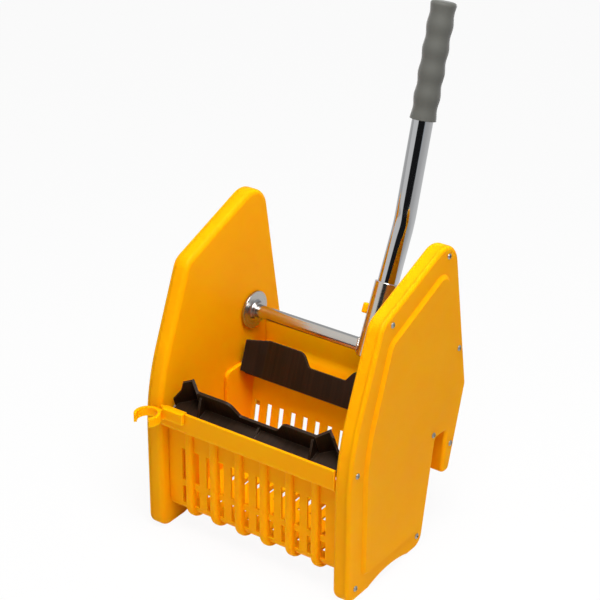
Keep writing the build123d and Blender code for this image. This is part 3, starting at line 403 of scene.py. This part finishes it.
# Cover screws: zinc-plated, domed and cross-headed, eight in the margin of each cover.
# They were driven by hand, so no two crosses stand at the same turn.
HEAD_DIAMETER = 0.008
HEAD_HEIGHT = 0.0022
ONE_SCREW_REACH = 1.5 * HEAD_DIAMETER
SHARP_ANGLE = math.radians(35)
HEAD_SEGMENTS = 28
HEAD_RINGS = 14
SHANK_CORNERS = 16
SCREW_SIZES = {
    "Head Diameter": HEAD_DIAMETER, "Head Height": HEAD_HEIGHT, "Recess Length": 0.0052,
    "Recess Width": 0.0017, "Recess Depth": 0.0019, "Shank Diameter": 0.004, "Shank Length": 0.009,
    "Facing": 0.0, "Seed": 7,
}


def screw_seats(name, out):
    """Where the heads of a CAD node's screws meet the cover, on the side of X that out gives."""
    screws = []
    for vertex in nodes[name].data.vertices:
        spot = vertex.co.yz
        for known in screws:
            if (known[0] - spot).length < ONE_SCREW_REACH:
                known.append(spot)
                break
        else:
            screws.append([spot])
    low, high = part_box(name)
    seat_x = high[0] - HEAD_HEIGHT if out > 0 else low[0] + HEAD_HEIGHT
    middles = [[(min(part) + max(part)) / 2 for part in zip(*screw)] for screw in screws]
    return [(seat_x, *middle) for middle in middles]


def crisp(tree, shape, angle):
    """Smooth shape whose edges stay sharp above an angle."""
    fold = add_node(tree, "GeometryNodeInputMeshEdgeAngle", {}).outputs["Unsigned Angle"]
    sharp = add_node(tree, "FunctionNodeCompare", {"A": fold, "B": angle}, operation="GREATER_THAN")
    return add_node(tree, "GeometryNodeSetShadeSmooth", {
        "Geometry": shape, "Selection": sharp.outputs["Result"], "Shade Smooth": False,
    }, domain="EDGE").outputs["Geometry"]


tree, given, end = new_tree("cross_head_screws", SCREW_SIZES, zinc)
ball = add_node(tree, "GeometryNodeMeshUVSphere", {
    "Segments": HEAD_SEGMENTS, "Rings": HEAD_RINGS, "Radius": 0.5,
})
dome_height = calc(tree, "MULTIPLY", given["Head Height"], 2)
dome = vector(tree, X=given["Head Diameter"], Y=given["Head Diameter"], Z=dome_height)
cut = add_node(tree, "GeometryNodeMeshBoolean", {
    "Mesh 1": moved(tree, ball.outputs["Mesh"], Scale=dome),
}, operation="DIFFERENCE", solver="EXACT")
crown = vector(tree, Z=given["Head Height"])
depth = calc(tree, "MULTIPLY", given["Recess Depth"], 2)
for long_side, short_side in (("X", "Y"), ("Y", "X")):
    recess = {long_side: given["Recess Length"], short_side: given["Recess Width"], "Z": depth}
    bar = add_node(tree, "GeometryNodeMeshCube", {"Size": vector(tree, **recess)})
    tree.links.new(moved(tree, bar.outputs["Mesh"], Translation=crown), cut.inputs["Mesh 2"])
shank = add_node(tree, "GeometryNodeMeshCylinder", {
    "Vertices": SHANK_CORNERS, "Radius": calc(tree, "MULTIPLY", given["Shank Diameter"], 0.5),
    "Depth": given["Shank Length"],
})
below = vector(tree, Z=calc(tree, "MULTIPLY", given["Shank Length"], -0.5))
screw = add_node(tree, "GeometryNodeJoinGeometry", {"Geometry": cut.outputs["Mesh"]})
tree.links.new(moved(tree, shank.outputs["Mesh"], Translation=below), screw.inputs["Geometry"])
driven = add_node(tree, "GeometryNodeInstanceOnPoints", {
    "Points": given["Geometry"], "Instance": crisp(tree, screw.outputs["Geometry"], SHARP_ANGLE),
    "Rotation": vector(tree, Y=given["Facing"]),
})
turn = add_node(tree, "FunctionNodeRandomValue", {"Seed": given["Seed"]}).outputs[1]
twist = vector(tree, Z=calc(tree, "MULTIPLY", turn, math.tau))
twisted = add_node(tree, "GeometryNodeRotateInstances", {
    "Instances": driven.outputs["Instances"], "Rotation": twist,
})
end(twisted.outputs["Instances"])
for side, out in (("left", -1), ("right", 1)):
    sizes = {**SCREW_SIZES, "Facing": out * math.pi / 2, "Seed": SCREW_SIZES["Seed"] + out}
    seats = screw_seats(f"{side}_cover_screws", out)
    screws = grow(f"{side}_cross_head_screws", tree, sizes, seats)
    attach(screws, "frame")
    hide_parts(f"{side}_cover_screws")

# Lever tube: a steel tube with a bright chrome finish, slid into the socket and up into the grip.
# It was bent once over a former, which left a shallow dent on the inner side of the bend.
LEVER_RADIUS = 0.0143
LEVER_START = 0.0118
LEVER_BEND = 0.174
LEVER_RISE = 0.2897
LEVER_TILT = math.radians(15.7)
DENT_TILT = (SOCKET_TILT + LEVER_TILT) / 2 + math.radians(90)
TUBE_SIZES = {
    "Tube Radius": LEVER_RADIUS, "Bend Radius": 0.2, "Dent Depth": 0.0012, "Dent Reach": 0.013,
}
BEND_POINTS = 24
TUBE_RINGS = 150
TUBE_CORNERS = 72
CHROME_TINT = (0.55, 0.556, 0.565, 1)
chrome = plating("chrome_plate", CHROME_TINT, polish=0.07, scuffs=0.01)


def up_lever(start, tilt, length):
    """Point at a length up a line that leans back by the tilt."""
    return start + length * Vector((0, math.sin(tilt), math.cos(tilt)))


def path_curve(tree, given):
    """Curve along the edges that a tree is given."""
    return add_node(tree, "GeometryNodeMeshToCurve", {"Mesh": given["Geometry"]}).outputs["Curve"]


def evenly(tree, curve, count):
    """Curve with a count of points at equal steps."""
    return add_node(tree, "GeometryNodeResampleCurve", {
        "Curve": curve, "Count": count,
    }).outputs["Curve"]


tube_start = up_lever(lever_foot, SOCKET_TILT, LEVER_START)
tube_bend = up_lever(lever_foot, SOCKET_TILT, LEVER_BEND)
tube_end = up_lever(tube_bend, LEVER_TILT, LEVER_RISE)
dent_place = up_lever(tube_bend, DENT_TILT, -LEVER_RADIUS)
tree, given, end = new_tree("bent_tube", TUBE_SIZES, chrome)
bent = add_node(tree, "GeometryNodeFilletCurve", {
    "Curve": path_curve(tree, given), "Count": BEND_POINTS, "Radius": given["Bend Radius"],
}, mode="POLY").outputs["Curve"]
tube_line = evenly(tree, bent, TUBE_RINGS)
tube_section = round_section(tree, TUBE_CORNERS)
tube = sweep(tree, tube_line, tube_section, given["Tube Radius"], capped=True)
place = add_node(tree, "GeometryNodeInputPosition", {}).outputs[0]
away = vector_calc(tree, "DISTANCE", place, dent_place).outputs["Value"]
steps = calc(tree, "DIVIDE", away, given["Dent Reach"])
fade = calc(tree, "EXPONENT", calc(tree, "POWER", steps, 2))
push = add_node(tree, "ShaderNodeVectorMath", {
    0: up_lever(Vector(), DENT_TILT, 1), "Scale": calc(tree, "DIVIDE", given["Dent Depth"], fade),
}, operation="SCALE")
dented = add_node(tree, "GeometryNodeSetPosition", {"Geometry": tube, "Offset": push.outputs[0]})
end(smooth(tree, dented.outputs["Geometry"]))
tube_points = [tube_start, tube_bend, tube_end]
lever_tube = grow("bent_tube", tree, TUBE_SIZES, tube_points, [(0, 1), (1, 2)])
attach(lever_tube, "lever")
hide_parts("lever_tube")

# Lever grip: a soft warm-grey sleeve with five finger waves and a rounded closed end.
# It is dip-moulded rubber, with a fine skin and no parting line, pushed tight over the tube.
GRIP_CAP = 0.0063
GRIP_SIZES = {"Length": 0.156, "Radius": 0.017, "Wave": 0.0008, "Waves": 5, "Corner": 0.005}
GRIP_SHARP_ANGLE = math.radians(50)
GRIP_RINGS = 260
GRIP_CORNERS = 72
GREY_LIGHT = colour(80, 80, 75)
GREY_DEEP = colour(71, 71, 67)
SHEEN_SHARE = 0.4
SHEEN_ROUGHNESS = 0.4
rubber = moulded_skin(
    "grey_rubber", GREY_LIGHT, GREY_DEEP,
    roughness=0.65, specular=0.2, grain=0.3, edge=0.0008,
)
rubber_shader = rubber.node_tree.nodes["Principled BSDF"]
rubber_shader.inputs["Sheen Weight"].default_value = SHEEN_SHARE
rubber_shader.inputs["Sheen Roughness"].default_value = SHEEN_ROUGHNESS
tree, given, end = new_tree("waved_grip", GRIP_SIZES, rubber)
height = add_node(tree, "GeometryNodeSplineParameter", {}).outputs["Length"]
turns = calc(tree, "MULTIPLY", calc(tree, "DIVIDE", height, given["Length"]), given["Waves"])
wave = calc(tree, "COSINE", calc(tree, "MULTIPLY", turns, math.tau))
waved = calc(tree, "ADD", given["Radius"], calc(tree, "MULTIPLY", wave, given["Wave"]))
corner = given["Corner"]
straight = calc(tree, "SUBTRACT", given["Length"], corner)
past = calc(tree, "MAXIMUM", calc(tree, "SUBTRACT", height, straight))
drop = calc(tree, "SUBTRACT", calc(tree, "POWER", corner, 2), calc(tree, "POWER", past, 2))
rounding = calc(tree, "SUBTRACT", calc(tree, "SQRT", calc(tree, "MAXIMUM", drop)), corner)
radius = calc(tree, "ADD", waved, rounding)
grip_line = evenly(tree, path_curve(tree, given), GRIP_RINGS)
sleeve = sweep(tree, grip_line, round_section(tree, GRIP_CORNERS), radius, capped=True)
end(crisp(tree, sleeve, GRIP_SHARP_ANGLE))
grip_top = up_lever(tube_end, LEVER_TILT, GRIP_CAP)
grip_foot = up_lever(grip_top, LEVER_TILT, -GRIP_SIZES["Length"])
grip = grow("waved_grip", tree, GRIP_SIZES, [grip_foot, grip_top], [(0, 1)])
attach(grip, "lever")
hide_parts("lever_grip")

# Lock pin: a moulded pin of the yellow plastic with an oblong head.
# It is pushed through the socket and the lever, and is pulled out to take the lever off.
dress(yellow, "lever_lock_pin")

# Handle clip: a moulded spring clip of the yellow plastic for a mop's handle.
# Its saddle is pushed over the left end of the basket's rim.
dress(yellow, "handle_clip")

# Studio: a pale sweep of floor under one soft box, and the photograph's long lens from front right.
# The floor and the sky show as white, and metal also sees the dark gap in the room by the camera
# and the greyer wall on the right.
CAMERA_PLACE = Vector((1.2509, -1.8222, 1.4458))
CAMERA_YAW = math.radians(35.212)
CAMERA_PITCH = math.radians(26.907)
CAMERA_ROLL = math.radians(0.355)
CAMERA_LENS = 112.2
CAMERA_SENSOR = 36
FARTHEST_VIEW = 20
SOFT_BOX_PLACE = Vector((0.38, -0.36, 1.63))
SOFT_BOX_TARGET = Vector((0, 0, 0.2))
SOFT_BOX_SIZE = (0.75, 1.1)
SOFT_BOX_WATTS = 34
SKY_LIGHT = 0.36
FLOOR_HALF = 12.0
FLOOR_WHITE = (0.75, 0.75, 0.75, 1)
FLOOR_GLOW_SHARE = 0.93
MIRRORED_GLOW_SHARE = 0.37
DARK_GAP_WAY = (0.407, -0.914, 0)
DARK_GAP_TONE = (0.012, 0.012, 0.013, 1)
DARK_GAP_STARTS = 0.80  # cosine of the turn away from the gap's middle
DARK_GAP_FULL = 0.84
LEFT_WALL_TONE = (0.8, 0.8, 0.8, 1)
RIGHT_WALL_WAY = (0.682, 0.731, 0)
RIGHT_WALL_TONE = (0.45, 0.48, 0.52, 1)
WALL_BLEND = 0.1
WHITE = (1, 1, 1, 1)


def aim(direction):
    """Rotation that points an object's -Z along a direction, with its Y as upright as it goes."""
    back = -direction.normalized()
    right = Vector((0, 0, 1)).cross(back).normalized()
    return Matrix((right, back.cross(right), back)).transposed()


def put(name, data, place, turned):
    """Object in the scene at a place, with a turn."""
    made = bpy.data.objects.new(name, data)
    bpy.context.scene.collection.objects.link(made)
    made.matrix_world = Matrix.Translation(place) @ turned.to_4x4()
    return made


def ray_shares(tree):
    """Whether a ray comes from the camera, and whether metal or glass sent it on."""
    rays = add_node(tree, "ShaderNodeLightPath", {}).outputs
    mirrored = calc(tree, "MAXIMUM", rays["Is Glossy Ray"], rays["Is Transmission Ray"])
    return rays["Is Camera Ray"], mirrored


def mixed_light(tree, share, first, second):
    """Shader between two, by a share."""
    return add_node(tree, "ShaderNodeMixShader", {"Fac": share, 1: first, 2: second}).outputs[0]


def backdrop(tree, tone, strength=1.0):
    """Light of a tone from the world."""
    return add_node(tree, "ShaderNodeBackground", {"Color": tone, "Strength": strength}).outputs[0]


look = Vector((
    -math.sin(CAMERA_YAW) * math.cos(CAMERA_PITCH),
    math.cos(CAMERA_YAW) * math.cos(CAMERA_PITCH),
    -math.sin(CAMERA_PITCH),
))
lens = bpy.data.cameras.new("camera")
lens.lens = CAMERA_LENS
lens.sensor_width = CAMERA_SENSOR
lens.clip_end = FARTHEST_VIEW
camera = put("camera", lens, CAMERA_PLACE, aim(look) @ Matrix.Rotation(CAMERA_ROLL, 3, "Z"))
bpy.context.scene.camera = camera

soft_box = bpy.data.lights.new("soft_box", "AREA")
soft_box.shape = "RECTANGLE"
soft_box.size, soft_box.size_y = SOFT_BOX_SIZE
soft_box.energy = SOFT_BOX_WATTS
put("soft_box", soft_box, SOFT_BOX_PLACE, aim(SOFT_BOX_TARGET - SOFT_BOX_PLACE))

floor_mesh = bpy.data.meshes.new("floor")
corners = [(x * FLOOR_HALF, y * FLOOR_HALF, 0) for x, y in ((-1, -1), (1, -1), (1, 1), (-1, 1))]
floor_mesh.from_pydata(corners, [], [(0, 1, 2, 3)])
floor = put("floor", floor_mesh, Vector(), Matrix.Identity(3))
paper = bpy.data.materials.new("white_paper")
paper.use_nodes = True
tree = paper.node_tree
tree.nodes.clear()
matt = add_node(tree, "ShaderNodeBsdfDiffuse", {"Color": FLOOR_WHITE}).outputs[0]
glow = add_node(tree, "ShaderNodeEmission", {"Strength": 1.0}).outputs[0]
seen, mirrored = ray_shares(tree)
seen_glow = calc(tree, "MULTIPLY", seen, FLOOR_GLOW_SHARE)
mirrored_glow = calc(tree, "MULTIPLY", mirrored, MIRRORED_GLOW_SHARE)
floor_look = mixed_light(tree, calc(tree, "MAXIMUM", seen_glow, mirrored_glow), matt, glow)
add_node(tree, "ShaderNodeOutputMaterial", {"Surface": floor_look})
floor_mesh.materials.append(paper)

world = bpy.data.worlds.new("studio")
world.use_nodes = True
bpy.context.scene.world = world
tree = world.node_tree
tree.nodes.clear()
way = add_node(tree, "ShaderNodeTexCoord", {}).outputs["Generated"]
flat_way = vector_calc(tree, "MULTIPLY", way, (1, 1, 0)).outputs[0]
level = vector_calc(tree, "NORMALIZE", flat_way).outputs[0]
to_gap = vector_calc(tree, "DOT_PRODUCT", level, DARK_GAP_WAY).outputs["Value"]
to_right = vector_calc(tree, "DOT_PRODUCT", level, RIGHT_WALL_WAY).outputs["Value"]
right_share = spread(tree, to_right, -WALL_BLEND, WALL_BLEND)
walls = mixed(tree, right_share, LEFT_WALL_TONE, RIGHT_WALL_TONE)
gap_share = spread(tree, to_gap, DARK_GAP_STARTS, DARK_GAP_FULL)
room = mixed(tree, gap_share, walls, DARK_GAP_TONE)
seen, mirrored = ray_shares(tree)
unseen = mixed_light(tree, mirrored, backdrop(tree, WHITE, SKY_LIGHT), backdrop(tree, room))
sky_look = mixed_light(tree, seen, unseen, backdrop(tree, WHITE))
add_node(tree, "ShaderNodeOutputWorld", {"Surface": sky_look})
bpy.context.scene.view_settings.view_transform = "Standard"
